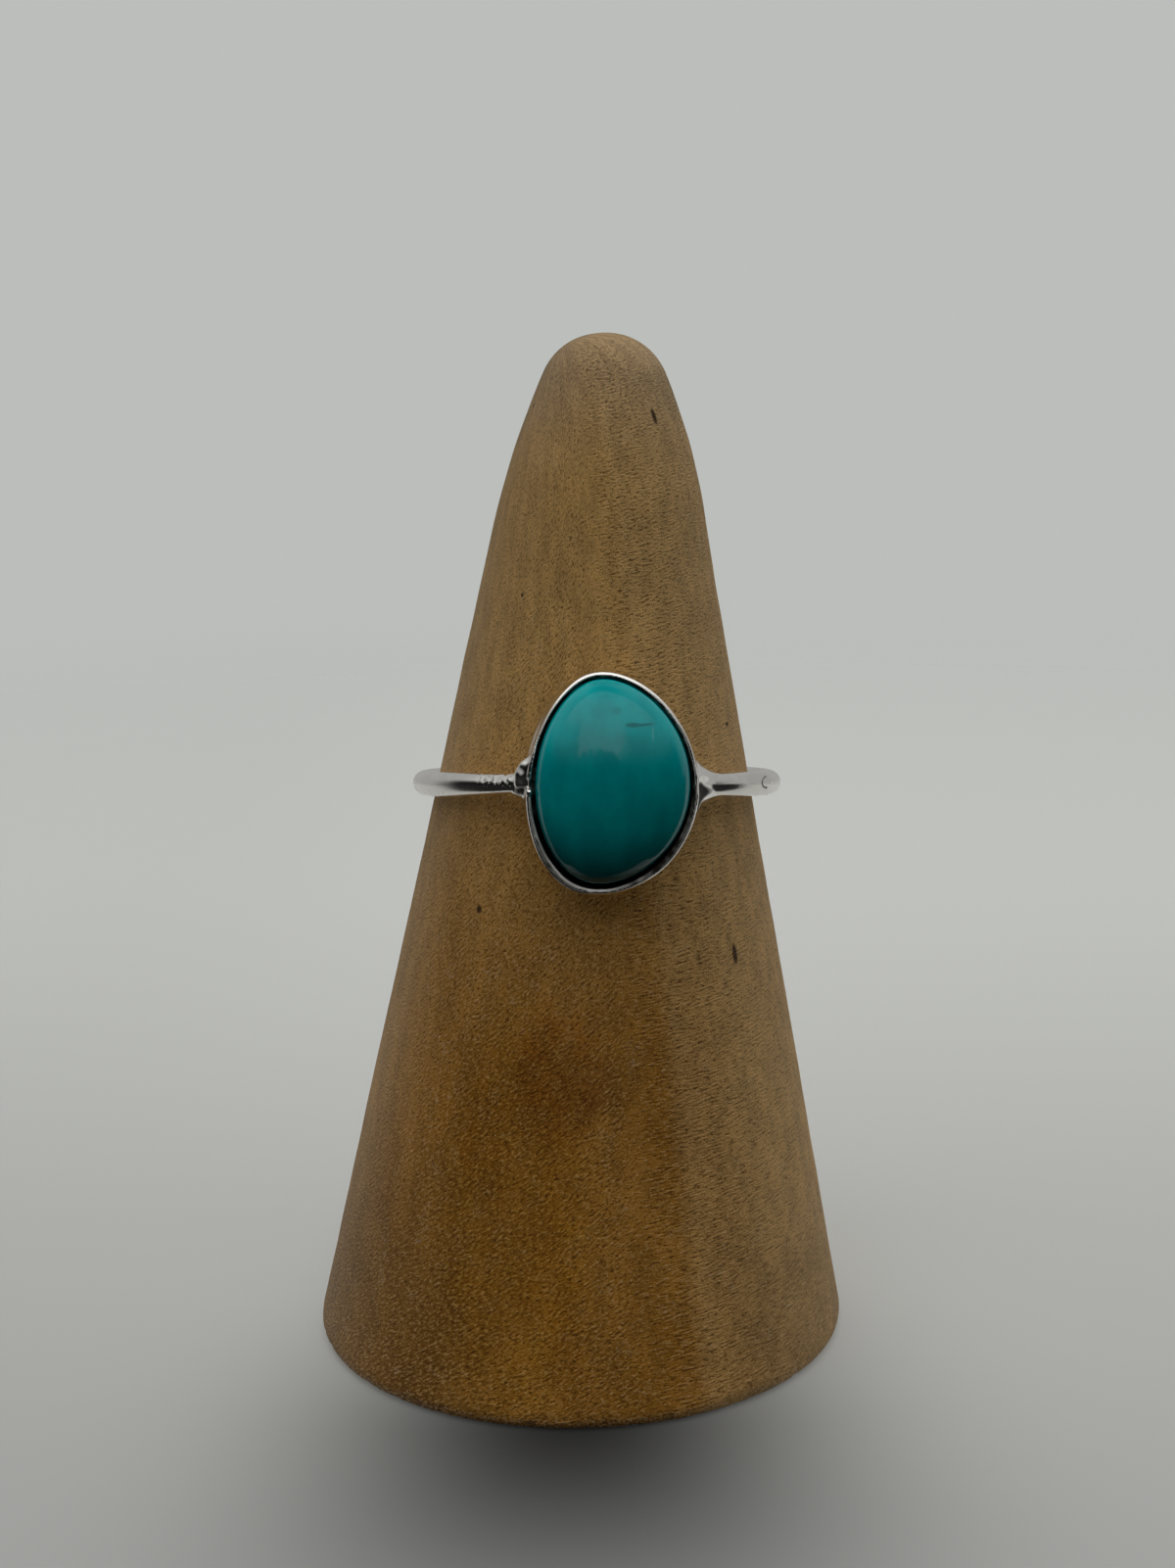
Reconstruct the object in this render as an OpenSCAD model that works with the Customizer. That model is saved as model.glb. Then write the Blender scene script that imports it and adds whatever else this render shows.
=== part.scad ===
// Silver ring with a bezel-set turquoise cabochon, seated on a turned wooden display cone.
// Millimetres. The cone stands on z = 0 with the centre of its foot at the origin, and the stone faces -Y.

/* [Wooden cone] */
// Diameter of the cone at its foot
cone_foot_d = 29.9; // [28:0.1:32]
// Height of the cone along its own axis
cone_h = 55.3; // [53:0.1:58]
// Angle between the straight flank and the axis
cone_flank_angle = 11.6; // [11:0.1:12]
// Height at which the straight flank begins to curve in towards the tip
cone_shoulder_z = 44.6; // [43:0.1:46]
// Radius of the rounded tip
cone_tip_r = 3.4; // [2.8:0.1:3.6]
// Radius that softens the edge of the foot
cone_foot_edge_r = 0.9; // [0.3:0.1:1.2]
// The foot was sawn a little out of square, so the axis leans this much towards +X
cone_lean = 2.2; // [0:0.1:2.4]

/* [Ring] */
// Inner diameter of the shank
ring_inner_d = 17.56; // [17.54:0.01:17.64]
// Diameter of the round shank wire at its back and sides
wire_d = 1.3; // [1:0.05:1.5]
// Diameter of the wire where it meets the bezel on the left, where it was filed and hammered thinner
wire_left_end_d = 1.05; // [0.9:0.05:1.3]
// Diameter of the wire where it meets the bezel on the right
wire_right_end_d = 1.2; // [0.9:0.05:1.3]
// Angle from the front at which the wire leaves its circle and runs straight to the bezel
wire_leave_angle = 52; // [50:1:54]
// How far the straight ends rise towards the bezel
wire_rise = 0.33; // [0.2:0.01:0.4]
// Height of the ring's centre above the foot of the cone
ring_z = 31; // [30.8:0.05:31]
// The ring's front is raised by this angle, which lays the flat back of the bezel along the cone
ring_tilt = 9.4; // [9.2:0.1:10]
// The ring slopes down towards +X by this angle
ring_roll = 1.4; // [0:0.1:1.6]
// The ring sits this far off the cone's axis towards +X
ring_offset = 0.05; // [0:0.01:0.08]
// The stone is turned towards +X by this angle
ring_yaw = 2.7; // [0:0.1:4]

/* [Bezel] */
// Mean reach of the bezel's outer wall from its centre
bezel_reach = 5.07; // [5:0.01:5.12]
// Distance from the ring's centre to the back of the bezel
bezel_back = 9.08; // [9.05:0.01:9.15]
// Height of the bezel from its back to the top of its rim
bezel_h = 2.28; // [2.1:0.01:2.4]
// Thickness of the back plate
bezel_plate_t = 0.4; // [0.3:0.05:0.5]

/* [Stone] */
// Mean reach of the stone's edge from its centre
stone_reach = 4.5; // [4.4:0.01:4.52]
// How much longer than wide the outline is, as a change of reach
outline_oval = 0.63; // [0.4:0.01:0.65]
// How much the outline narrows to a blunt point, as a change of reach
outline_egg = 0.15; // [0:0.01:0.18]
// How far the stone sits above the middle of the bezel
stone_up = 0.14; // [0:0.01:0.16]
// Clearance between the stone and the metal round it
stone_gap = 0.1; // [0.06:0.01:0.12]
// Height of the dome above the rim of the bezel
dome_h = 1.95; // [1.2:0.05:2.4]

/* [Hidden] */
// How far the ends of the wire run into the wall of the bezel
overlap = 0.4;

foot_r = cone_foot_d / 2;
flank_slope = tan(cone_flank_angle);
// The foot's cut trims this much more stock off the low side of the leaning cone
sawn_stock = 1.5;

shank_r = (ring_inner_d + wire_d) / 2;
ring_x = ring_z * tan(cone_lean) + ring_offset;
// The tilted ring rests a little behind the cone's axis, where its back touches the wood
ring_y = 0.4;

outline_oval_dir = 88;
outline_egg_dir = -7;
outline_steps = 64;
bezel_up = 0.28;
stone_floor = bezel_back + bezel_plate_t + stone_gap / 2;
rim_top = bezel_back + bezel_h;

// Cone

// Points of an arc about [cx, cy] from angle a0 to angle a1
function arc(cx, cy, r, a0, a1, steps) =
    [for (i = [0:steps]) let(a = a0 + (a1 - a0) * i / steps) [cx + r * cos(a), cy + r * sin(a)]];

// The shoulder is one long arc: tangent to the flank below it and to the round tip above it
shoulder_start = [foot_r - flank_slope * cone_shoulder_z, cone_shoulder_z];
flank_normal = [cos(cone_flank_angle), sin(cone_flank_angle)];
tip_centre = [0, cone_h - cone_tip_r];
tip_to_shoulder = shoulder_start - tip_centre;
shoulder_r = (tip_to_shoulder * tip_to_shoulder - cone_tip_r * cone_tip_r)
    / (2 * (tip_to_shoulder * flank_normal - cone_tip_r));
shoulder_centre = shoulder_start - shoulder_r * flank_normal;
tip_angle = atan2(tip_centre[1] - shoulder_centre[1], tip_centre[0] - shoulder_centre[0]);

// The last stretch up to the very tip is one flat band
tip_last_angle = 84;

cone_profile = concat(
    [[0, -sawn_stock], [foot_r + flank_slope * sawn_stock, -sawn_stock]],
    arc(shoulder_centre[0], shoulder_centre[1], shoulder_r, cone_flank_angle, tip_angle, 16),
    arc(0, tip_centre[1], cone_tip_r, tip_angle, tip_last_angle, 10),
    [[0, cone_h]]
);

// A can whose lower edge is rounded to meet the flank: it saws the foot flat and softens its edge
edge_centre_r = foot_r - (flank_slope + 1 / cos(cone_flank_angle)) * cone_foot_edge_r;
foot_can = concat(
    [[0, 0]],
    arc(edge_centre_r, cone_foot_edge_r, cone_foot_edge_r, -90, cone_flank_angle, 8),
    [[foot_r, 2 * cone_foot_edge_r], [foot_r, cone_h + 1], [0, cone_h + 1]]
);

module display_cone() {
    color([0.55, 0.42, 0.27])
        intersection() {
            rotate([0, cone_lean, 0]) rotate_extrude($fn = 96) polygon(cone_profile);
            rotate_extrude($fn = 96) polygon(foot_can);
        }
}

// Ring

// Places the ring's own frame: its axis is local Z and the stone faces local -Y
module on_cone() {
    translate([ring_x, ring_y, ring_z]) rotate([-ring_tilt, ring_roll, ring_yaw]) children();
}

// Outline of the stone and the bezel, as the reach of its tangent line in direction a, and the rate of that reach
function reach(mean, a) =
    mean + outline_oval * cos(2 * (a - outline_oval_dir)) + outline_egg * cos(3 * (a - outline_egg_dir));
function reach_rate(a) =
    -2 * outline_oval * sin(2 * (a - outline_oval_dir)) - 3 * outline_egg * sin(3 * (a - outline_egg_dir));
function outline_point(mean, up, a) =
    let(h = reach(mean, a), d = reach_rate(a)) [h * cos(a) - d * sin(a), up + h * sin(a) + d * cos(a)];

function lip_point(a) = outline_point(stone_reach + stone_gap, bezel_up + stone_up, a);
function wall_point(a) = outline_point(bezel_reach, bezel_up, a);

// A closed shell through rings of points; each ring has the same count, and the last joins the first
module ring_of_sections(sections) {
    count = len(sections);
    size = len(sections[0]);
    polyhedron(
        points = [for (s = sections) each s],
        faces = [for (i = [0:count - 1], j = [0:size - 1])
            [i * size + j, i * size + (j + 1) % size,
             ((i + 1) % count) * size + (j + 1) % size, ((i + 1) % count) * size + j]],
        convexity = 6
    );
}

// A solid through rings of points with flat ends; the points run anticlockwise seen from the end it grows towards
module stack_of_sections(sections) {
    count = len(sections);
    size = len(sections[0]);
    polyhedron(
        points = [for (s = sections) each s],
        faces = concat(
            [[for (j = [0:size - 1]) j]],
            [for (i = [0:count - 2], j = [0:size - 1])
                [i * size + j, (i + 1) * size + j,
                 (i + 1) * size + (j + 1) % size, i * size + (j + 1) % size]],
            [[for (j = [size - 1:-1:0]) (count - 1) * size + j]]
        ),
        convexity = 6
    );
}

// Section of the bezel wall: columns are how far the point lies from the lip (0) to the outer wall (1), and its
// height above the bezel's back as a share of the full height
bezel_section = [
    [0, 0],
    [1, 0],
    [1, 0.72],
    [0.94, 0.87],
    [0.78, 0.965],
    [0.5, 1],
    [0.15, 0.985],
    [0, 0.9]
];

module bezel_wall() {
    ring_of_sections([for (k = [0:outline_steps - 1])
        let(a = 360 * k / outline_steps, inner = lip_point(a), outer = wall_point(a))
        [for (row = bezel_section)
            let(p = inner + (outer - inner) * row[0]) [p[0], -(bezel_back + bezel_h * row[1]), p[1]]]]);
}

module bezel_plate() {
    translate([0, -bezel_back, 0]) rotate([90, 0, 0]) linear_extrude(bezel_plate_t)
        polygon(within_wall(0.6));
}

// Where each end of the wire meets the bezel: side is 1 on the right and -1 on the left
joint_x_right = 4.5;
joint_x_left = 4.25;
function joint_x(side) = side > 0 ? joint_x_right : joint_x_left;
function straight_length(side) = (shank_r * sin(wire_leave_angle) - joint_x(side)) / cos(wire_leave_angle);

// Point on a straight end, at distance s from the bezel
function straight_point(side, s) =
    let(left_over = straight_length(side) - s)
    [side * (shank_r * sin(wire_leave_angle) - left_over * cos(wire_leave_angle)),
     -shank_r * cos(wire_leave_angle) - left_over * sin(wire_leave_angle),
     wire_rise_at(-shank_r * cos(wire_leave_angle) - left_over * sin(wire_leave_angle))];

// The front half of the shank rises smoothly, most at the bezel
function wire_rise_at(y) = wire_rise * pow(max(0, -y) / shank_r, 2);

// The wire reaches its full size this far from the bezel
taper_length = 6;
function wire_r_at(side, s) =
    let(thin = side > 0 ? wire_right_end_d : wire_left_end_d, t = min(1, max(0, s / taper_length)))
    (thin + (wire_d - thin) * t * t * (3 - 2 * t)) / 2;

// Solder fillets: the wire spreads up and down the wall of the bezel
// Columns are how far the fillet runs along the wire, and its reach up and down the wall; the left one comes first
fillets = [
    [0.8, 1.05, 0.85],
    [1.5, 1.75, 1.25]
];
function fillet_row(side) = fillets[side > 0 ? 1 : 0];

// Distances from the bezel of the stations on a straight end, close together where the fillet is steep
function straight_stations(side) =
    let(run = fillet_row(side)[0])
    concat([-overlap], [for (i = [0:4]) run * i * i / 16], [(run + straight_length(side)) / 2]);

// Stations along the wire from the right joint round the back to the left joint: side, distance from the bezel,
// centre and heading
circle_steps = 44;
wire_sides = 16;
function straight_station(side, s) = [side, s, straight_point(side, s), side * wire_leave_angle];
function circle_station(a) =
    let(y = -shank_r * cos(a), side = a < 180 ? 1 : -1,
        s = straight_length(side) + shank_r * PI / 180 * (180 - abs(180 - a) - wire_leave_angle))
    [side, s, [shank_r * sin(a), y, wire_rise_at(y)], a];
stations = concat(
    [for (s = straight_stations(1)) straight_station(1, s)],
    [for (i = [0:circle_steps])
        circle_station(wire_leave_angle + (360 - 2 * wire_leave_angle) * i / circle_steps)],
    let(left = straight_stations(-1)) [for (i = [len(left) - 1:-1:0]) straight_station(-1, left[i])]
);

// Reach of the metal above or below the wire's centre at distance s from the bezel: a quarter round that starts on
// the wire and ends on the wall
function fillet_reach(side, s, full) =
    let(t = min(1, max(0, 1 - s / fillet_row(side)[0])), r = wire_r_at(side, s))
    r + (full - r) * (1 - sqrt(1 - t * t));

// Section about centre c, in the plane square to a wire whose heading is square to angle a
function wire_section(side, s, c, a) =
    let(r = wire_r_at(side, s), up = fillet_reach(side, s, fillet_row(side)[1]),
        down = fillet_reach(side, s, fillet_row(side)[2]))
    [for (j = [0:wire_sides - 1])
        let(t = -360 * j / wire_sides, z = sin(t))
        c + [r * cos(t) * sin(a), -r * cos(t) * cos(a), z * (z > 0 ? up : down)]];

module shank() {
    stack_of_sections([for (st = stations) wire_section(st[0], st[1], st[2], st[3])]);
}

// Outline part way through the wall: share 0 is the lip and share 1 the outer wall
function within_wall(share) =
    [for (k = [0:outline_steps - 1])
        let(a = 360 * k / outline_steps, p = lip_point(a)) p + (wall_point(a) - p) * share];

// Trims the ends of the wire off inside the metal of the wall and the plate, so that they stay out of the cup
module cup_trim() {
    translate([0, -bezel_back - bezel_plate_t / 2, 0]) rotate([90, 0, 0]) linear_extrude(bezel_h)
        polygon(within_wall(0.3));
}

module silver_ring() {
    color([0.8, 0.8, 0.78])
        on_cone()
        union() {
            difference() {
                shank();
                cup_trim();
            }
            bezel_wall();
            bezel_plate();
        }
}

// Stone

// A cabochon: straight sides inside the bezel, then a dome that flattens towards its top
dome_rings = 9;
dome_top = rim_top + dome_h;
// The dome springs from a little below the rim
dome_spring = rim_top - 0.25;
// The edge under the stone is bevelled by this share of its width, over this height
bevel_share = 0.04;
bevel_h = 0.3;
stone_centre = [0, bezel_up + stone_up];

// Width of the dome, as a share of the full width, at a share t of its height
function dome_share(t) = pow(1 - pow(t, 2.3), 0.53);

module turquoise_stone() {
    girdle = [for (k = [0:outline_steps - 1])
        outline_point(stone_reach, bezel_up + stone_up, 360 * k / outline_steps)];
    levels = concat(
        [[1 - bevel_share, stone_floor], [1, stone_floor + bevel_h]],
        [for (i = [0:dome_rings]) let(t = sin(89 * i / dome_rings))
            [dome_share(t), dome_spring + (dome_top - dome_spring) * t]]
    );
    color([0.1, 0.55, 0.55])
        on_cone()
        stack_of_sections([for (level = levels)
            [for (p = girdle) let(q = stone_centre + (p - stone_centre) * level[0]) [q[0], -level[1], q[1]]]]);
}

display_cone();
silver_ring();
turquoise_stone();
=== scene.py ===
"""Turquoise ring on a wooden display cone: finishes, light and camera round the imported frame.

Lengths are millimetres, as in the CAD source, and become metres where a mesh, light or camera is made.
"""
import itertools
import math

import bpy
import numpy as np
from mathutils import Euler, Matrix, Vector


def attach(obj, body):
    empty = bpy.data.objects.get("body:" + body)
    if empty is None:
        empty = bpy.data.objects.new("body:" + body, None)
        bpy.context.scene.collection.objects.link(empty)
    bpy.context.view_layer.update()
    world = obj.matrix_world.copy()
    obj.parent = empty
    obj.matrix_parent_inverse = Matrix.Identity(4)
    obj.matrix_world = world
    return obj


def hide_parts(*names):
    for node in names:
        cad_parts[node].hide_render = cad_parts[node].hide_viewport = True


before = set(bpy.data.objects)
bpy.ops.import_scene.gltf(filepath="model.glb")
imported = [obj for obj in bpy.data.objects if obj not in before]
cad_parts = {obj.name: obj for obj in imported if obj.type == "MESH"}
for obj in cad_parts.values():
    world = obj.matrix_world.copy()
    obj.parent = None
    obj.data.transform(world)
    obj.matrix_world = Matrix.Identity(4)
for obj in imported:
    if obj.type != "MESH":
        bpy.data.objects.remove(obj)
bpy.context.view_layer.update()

MM = 0.001

# Wooden cone
FOOT_R = 14.95
CONE_H = 55.3
FLANK_ANGLE = math.radians(11.6)
FLANK_SLOPE = math.tan(FLANK_ANGLE)
SHOULDER_Z = 44.6
TIP_R = 3.4
TIP_SWELL = 0.22
FOOT_EDGE_R = 0.9
FOOT_EDGE_H = 1.2 * FOOT_EDGE_R
LEAN = math.radians(2.2)

# Ring: the wire is a circle round the back, and a flatter bow on each side from BOW_START up to the bezel
SHANK_R = 9.43
WIRE_R = 0.65
WIRE_END_R = {"left": 0.525, "right": 0.6}
WIRE_OVERLAP = 0.4
JOINT_X = {"left": 4.25, "right": 4.5}
BOW_START = math.radians(62)
BOW_END = math.radians(40)
WIRE_RISE = {"left": 0.33, "right": 0.21}
TAPER_LENGTH = 6
FILLET_R = {"left": 0.75, "right": 1.5}
FRONT_FILLET_R = {"left": 0.16, "right": 1.1}
RING_Z = 31
RING_PLACE = (RING_Z * math.tan(LEAN) + 0.16, 0.4, RING_Z)
RING_TURN = (math.radians(-9.4), math.radians(1.4), math.radians(2.7))

# Bezel and stone
BEZEL_REACH = 5.07
BEZEL_BACK = 9.08
BEZEL_H = 2.28
BEZEL_UP = 0.28
PLATE_T = 0.4
LIP_REACH = 4.69
LIP_UP = 0.35
RIM_SLOPE = 0.4
RIM_BEVEL = {"top": 0.095, "bottom": 0.105}
RIM_TILT = {"middle": math.radians(37), "side": math.radians(61)}
RIM_EDGE_R = 0.03
LIP_EDGE_R = 0.08
LOW_RIGHT = math.radians(-40)
LOW_LEFT = math.radians(215)
STONE_REACH = 4.53
STONE_GAP = 0.1
STONE_X = 0.06
STONE_UP = 0.14
OVAL = 0.63
OVAL_DIR = math.radians(88)
EGG = 0.15
EGG_DIR = math.radians(-7)
DOME_H = 1.95
RIM_TOP = BEZEL_BACK + BEZEL_H
STONE_FLOOR = BEZEL_BACK + PLATE_T + STONE_GAP / 2

# The wall leans in all round, and more in some directions: direction and half width in degrees, and how far
WALL_LEAN = 0.03
WALL_LEANS = [
    (155, 32, 0.18),
    (18, 20, 0.05),
    (268, 24, 0.09),
]

# The end of the bezel's strip shows at the left joint, and the strip behind it lies deeper for a short way
STRIP_END_Z = 0.2
STRIP_DROP = 0.3
STRIP_END_BEAD = (-4.0, -11.24, -0.04)
STRIP_END_R = 0.19
BEAD_JOIN_R = 0.06

# Lumps of solder over the left joint, in the ring's frame: x, y, z and radius
SOLDER_LUMPS = [
    (-4.3, -10.55, 0.95, 0.36),
    (-4.16, -10.7, 1.35, 0.24),
    (-4.34, -10.42, 0.6, 0.4),
    (-4.4, -10.35, 0.28, 0.24),
]
SOLDER_JOIN_R = 0.32

# Hammered patch on the left end of the wire: x, z, half length and half height
HAMMERED_PATCH = (-5.6, 0.55, 0.85, 0.3)
HAMMER_DEPTH = 0.03

# Curved mark of a seam on the right of the wire: x, z and radius
SEAM_MARK = (8.75, 0.14, 0.29)

# Width of the rim's clean outer edge
CLEAN_RIM = {"top": 0.16, "bottom": 0.12}

# Unevenness of each surface, and of the tarnish on it: size of a lump, height and seed
FLANK_WAVES = [(9, 0.02, 1), (1.6, 0.006, 2)]
RIM_WAVES = [(0.9, 0.005, 11), (3.5, 0.015, 12)]
WALL_WAVES = [(1.6, 0.009, 13)]
LIP_WAVES = [(0.8, 0.015, 14)]
HAMMER_DENTS = [(0.2, 0.022, 21)]
SOLDER_WAVES = [(0.3, 0.008, 22)]
RIM_MOTTLE = [(0.28, 0.07, 31), (0.9, 0.05, 32)]
SOLDER_MOTTLE = [(0.22, 0.05, 34)]
CLEAN_RIM_WAVES = [(0.5, 0.008, 35)]

# Chips in the edge of the foot: size of a lump, how high its ripple has to be, depth and seed
FOOT_CHIPS = [(0.55, 0.9, 0.1, 3), (2.2, 1.2, 0.12, 4)]

# The front of the ring is one net of small cells, in a box up to FRONT_END_Y, where the plain shank begins
NET_CELL = 0.057
FRONT_END_Y = -4
NET_LOW = (-SHANK_R - 0.2, -RIM_TOP - 0.4, -5.4)
NET_HIGH = (SHANK_R + 0.2, FRONT_END_Y, 6.4)

# Camera, as the photograph sees the ring: the image is 1200 by 1601 pixels
IMAGE_H = 1601
FOCAL_PIXELS = 2380
SENSOR = 36
CAMERA_ELEVATION = math.radians(12)
CAMERA_DISTANCE = 127.9
CAMERA_RIGHT = 0.84
CAMERA_ROLL = math.radians(1.07)
AIM_Z = 30.96


# Meshes

def smoothstep(low, high, value):
    """0 at low, 1 at high, and smooth between. Low may be the larger."""
    t = np.clip((value - low) / (high - low), 0, 1)
    return t * t * (3 - 2 * t)


def ripple(points, size, seed, waves=20):
    """A smooth random field, mostly from -2 to 2, whose lumps are about size across."""
    rng = np.random.default_rng(seed)
    heading = rng.normal(size=(waves, 3))
    heading /= np.linalg.norm(heading, axis=1)[:, None]
    pitch = math.pi / size * rng.uniform(0.7, 1.4, waves)
    phase = rng.uniform(0, 2 * math.pi, waves)
    return math.sqrt(2 / waves) * np.cos(points @ (heading * pitch[:, None]).T + phase).sum(1)


def unevenness(points, table):
    """Sum of the ripples in a table of size, height and seed."""
    return sum(height * ripple(points, size, seed) for size, height, seed in table)


def full_turn(columns):
    """Angles spread evenly round a circle."""
    return np.linspace(0, 2 * math.pi, columns, endpoint=False)


def distance_to(points, centre):
    return np.linalg.norm(points - np.array(centre), axis=1)


def mesh_piece(name, points, faces, material, place=None, tarnish_and_painted_reflection=None):
    """A smooth object on the one CAD body, from points in millimetres, with its place in its mesh."""
    mesh = bpy.data.meshes.new(name)
    mesh.from_pydata((points * MM).tolist(), [], faces)
    if place is not None:
        mesh.transform(place)
    if tarnish_and_painted_reflection is not None:
        mesh.attributes.new("tarnish_and_painted_reflection", "FLOAT", "POINT").data.foreach_set("value", tarnish_and_painted_reflection)
    mesh.polygons.foreach_set("use_smooth", [True] * len(mesh.polygons))
    mesh.materials.append(material)
    piece = bpy.data.objects.new(name, mesh)
    bpy.context.scene.collection.objects.link(piece)
    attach(piece, "root")
    return piece


def band_faces(rows, columns):
    """Quads between rows of points round a closed outline."""
    return [[i * columns + j, i * columns + (j + 1) % columns,
             (i + 1) * columns + (j + 1) % columns, (i + 1) * columns + j]
            for i in range(rows - 1) for j in range(columns)]


def lathe_faces(rows, columns):
    """Quads between rows of points round a closed outline, with a fan to one last point at each end."""
    first, last = rows * columns, rows * columns + 1
    end = (rows - 1) * columns
    faces = band_faces(rows, columns)
    faces += [[first, (j + 1) % columns, j] for j in range(columns)]
    faces += [[last, end + j, end + (j + 1) % columns] for j in range(columns)]
    return faces


# Wooden cone

def cone_radius(h):
    """Radius of the cone at heights h along its own axis: flank, long shoulder arc and round tip."""
    start = np.array([FOOT_R - FLANK_SLOPE * SHOULDER_Z, SHOULDER_Z])
    normal = np.array([math.cos(FLANK_ANGLE), math.sin(FLANK_ANGLE)])
    tip = np.array([0, CONE_H - TIP_R])
    to_start = start - tip
    arc_r = (to_start @ to_start - TIP_R ** 2) / (2 * (to_start @ normal - TIP_R))
    centre = start - arc_r * normal
    meeting = tip + TIP_R * (tip - centre) / np.linalg.norm(tip - centre)
    flank = FOOT_R - FLANK_SLOPE * h
    shoulder = centre[0] + np.sqrt(np.maximum(arc_r ** 2 - (h - centre[1]) ** 2, 0))
    cap = np.sqrt(np.maximum(TIP_R ** 2 - (h - tip[1]) ** 2, 0))
    return np.where(h < SHOULDER_Z, flank, np.where(h < meeting[1], shoulder, cap))


def bend(start, corner, end, t):
    """A curve from start at t = 0 to end at t = 1 that rounds off the corner."""
    return (1 - t) ** 2 * start + 2 * t * (1 - t) * corner + t * t * end


def cone_rows(columns):
    """Rows of points up the smooth cone: its flat foot, the soft edge of the foot, and the leaning flank."""
    flank_rows, edge_rows, foot_rows = 150, 16, 5
    innermost_share = 0.2
    lean_sin, lean_cos = math.sin(LEAN), math.cos(LEAN)
    angle = full_turn(columns)
    tilted = np.cos(angle) * lean_sin
    edge_h = (FOOT_EDGE_H + FOOT_R * tilted) / (lean_cos + FLANK_SLOPE * tilted)

    def on_flank(h):
        r = cone_radius(h)
        x, y = r * np.cos(angle), r * np.sin(angle)
        return np.stack([x * lean_cos + h * lean_sin, y, h * lean_cos - x * lean_sin], axis=1)

    rise = np.sin(np.linspace(0, math.pi / 2, flank_rows))
    flank = [on_flank(edge_h + (CONE_H - edge_h) * share) for share in rise[:-1]]
    flank_r = np.linalg.norm(flank[0][:, :2], axis=1)
    outward = flank[0][:, :2] / flank_r[:, None]
    corner_r = flank_r + FLANK_SLOPE * FOOT_EDGE_H
    foot_r = corner_r - FOOT_EDGE_R

    def at_foot(r, z):
        return np.column_stack([outward * r[:, None], np.full(columns, z)])

    edge = [at_foot(bend(flank_r, corner_r, foot_r, i / edge_rows), bend(FOOT_EDGE_H, 0, 0, i / edge_rows))
            for i in range(1, edge_rows)]
    foot = [at_foot(foot_r * share, 0) for share in np.linspace(1, innermost_share, foot_rows)]
    return foot[::-1] + edge[::-1] + flank


def wooden_cone(material):
    """The turned cone with its leaning axis, worn foot edge and slightly uneven flank."""
    columns = 480
    rows = cone_rows(columns)
    points = np.concatenate(rows)
    z = points[:, 2]
    from_axis = np.linalg.norm(points[:, :2], axis=1)
    away = points[:, :2] / from_axis[:, None]
    on_side = np.where(z > 0.01, smoothstep(0.2, 3, from_axis), 0)
    swell = TIP_SWELL * smoothstep(43, 50, z) * smoothstep(0, 0.9, away[:, 0])
    near_edge = np.exp(-((z - 0.35) / 0.4) ** 2) * (from_axis > FOOT_R - 1.6)
    chips = sum(depth * np.maximum(ripple(points, size, seed) - start, 0)
                for size, start, depth, seed in FOOT_CHIPS)
    outward = on_side * (unevenness(points, FLANK_WAVES) + swell) - near_edge * chips
    points[:, :2] += away * outward[:, None]
    foot_middle = [0, 0, 0]
    tip = [CONE_H * math.sin(LEAN), 0, CONE_H * math.cos(LEAN)]
    points = np.concatenate([points, [foot_middle, tip]])
    piece = mesh_piece("wood_cone", points, lathe_faces(len(rows), columns), material)
    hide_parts("display_cone")


# Outline of the stone and the bezel, given as the reach of its tangent line in each direction a

def reach(mean, a):
    return mean + OVAL * np.cos(2 * (a - OVAL_DIR)) + EGG * np.cos(3 * (a - EGG_DIR))


def reach_rate(a):
    """How fast the reach grows with the direction."""
    return -2 * OVAL * np.sin(2 * (a - OVAL_DIR)) - 3 * EGG * np.sin(3 * (a - EGG_DIR))


def reach_bend(a):
    """How fast the rate grows with the direction."""
    return -4 * OVAL * np.cos(2 * (a - OVAL_DIR)) - 9 * EGG * np.cos(3 * (a - EGG_DIR))


def outline_points(mean, up, a):
    """Points of the outline whose outward directions are a, as columns right and up."""
    h, d = reach(mean, a), reach_rate(a)
    return np.stack([h * np.cos(a) - d * np.sin(a), up + h * np.sin(a) + d * np.cos(a)], axis=1)


def outline_distance(x, z, mean, up):
    """Signed distance to the outline, negative inside, and the direction of the nearest tangent line."""
    rounds, least_bend, most_change = 7, 0.6, 0.3
    z = z - up
    a = np.arctan2(z * 0.8, x)
    for _ in range(rounds):
        along = z * np.cos(a) - x * np.sin(a) - reach_rate(a)
        bent = x * np.cos(a) + z * np.sin(a) + reach_bend(a)
        a = a + np.clip(along / np.maximum(bent, least_bend), -most_change, most_change)
    return x * np.cos(a) + z * np.sin(a) - reach(mean, a), a


# Silver ring, as a field that is negative inside the metal

def round_join(a, b, r):
    """Union of two fields with a fillet of radius r between them."""
    return np.maximum(r, np.minimum(a, b)) - np.hypot(np.maximum(r - a, 0), np.maximum(r - b, 0))


def round_cut(a, b, r):
    """Intersection of two fields with their shared edge rounded to radius r."""
    return np.minimum(-r, np.maximum(a, b)) + np.hypot(np.maximum(a + r, 0), np.maximum(b + r, 0))


def by_side(x, values):
    return np.where(x > 0, values["right"], values["left"])


def upper(a, values):
    """The top value where direction a points up, the bottom value where it points down, smooth between."""
    return values["bottom"] + (values["top"] - values["bottom"]) * smoothstep(-0.35, 0.35, np.sin(a))


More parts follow.
